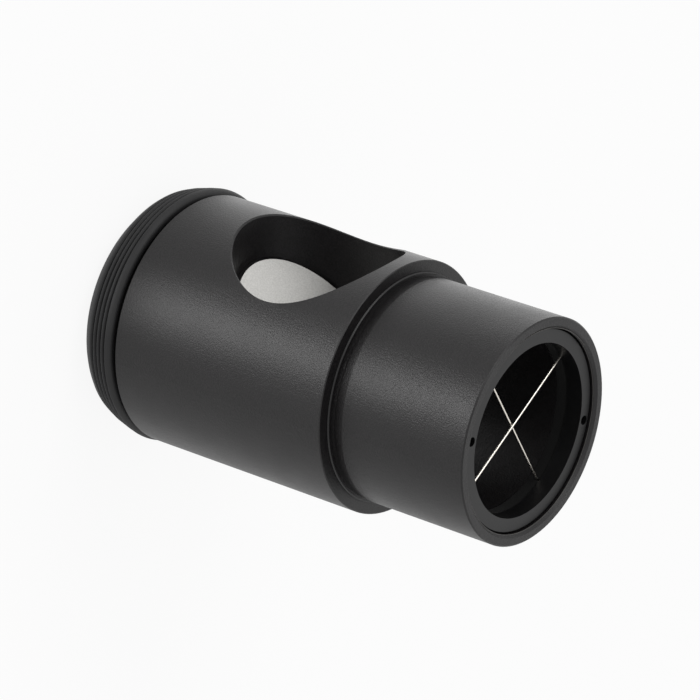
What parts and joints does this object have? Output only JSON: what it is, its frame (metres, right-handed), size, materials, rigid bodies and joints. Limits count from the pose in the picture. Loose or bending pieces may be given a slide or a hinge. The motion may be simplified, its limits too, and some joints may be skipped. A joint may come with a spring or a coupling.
{
  "type": "cheshire collimator",
  "caption": "Sight tube for aligning a telescope: thick tube with a round side window, slanted reflector, crosshair in a push-in nosepiece and a folded rubber eyecup.",
  "frame": {"origin": "centre of the eye end, on the plane that the folded eyecup stands on", "axes": "+Z along the optical axis towards the open end of the nosepiece; the light window faces -Y"},
  "size_m": [0.0584, 0.0584, 0.1041],
  "materials": {
    "anodised_body": "bead blasted, black anodised, satin",
    "anodised_ring": "turned, black anodised, matte",
    "matte_black": "black anodised, dull",
    "steel_wire": "bright drawn wire",
    "bare_aluminium": "bead blasted, left bare",
    "rubber": "moulded, matte"
  },
  "bodies": {
    "root": {"body_tube": "anodised_body", "nosepiece": "anodised_body", "retaining_ring": "anodised_ring", "crosshair_carrier": "matte_black", "crosshair_wire_front": "steel_wire", "crosshair_wire_rear": "steel_wire", "reflector_plug": "bare_aluminium", "eye_cap": "anodised_body", "rubber_eyecup": "rubber"}
  },
  "joints": []
}
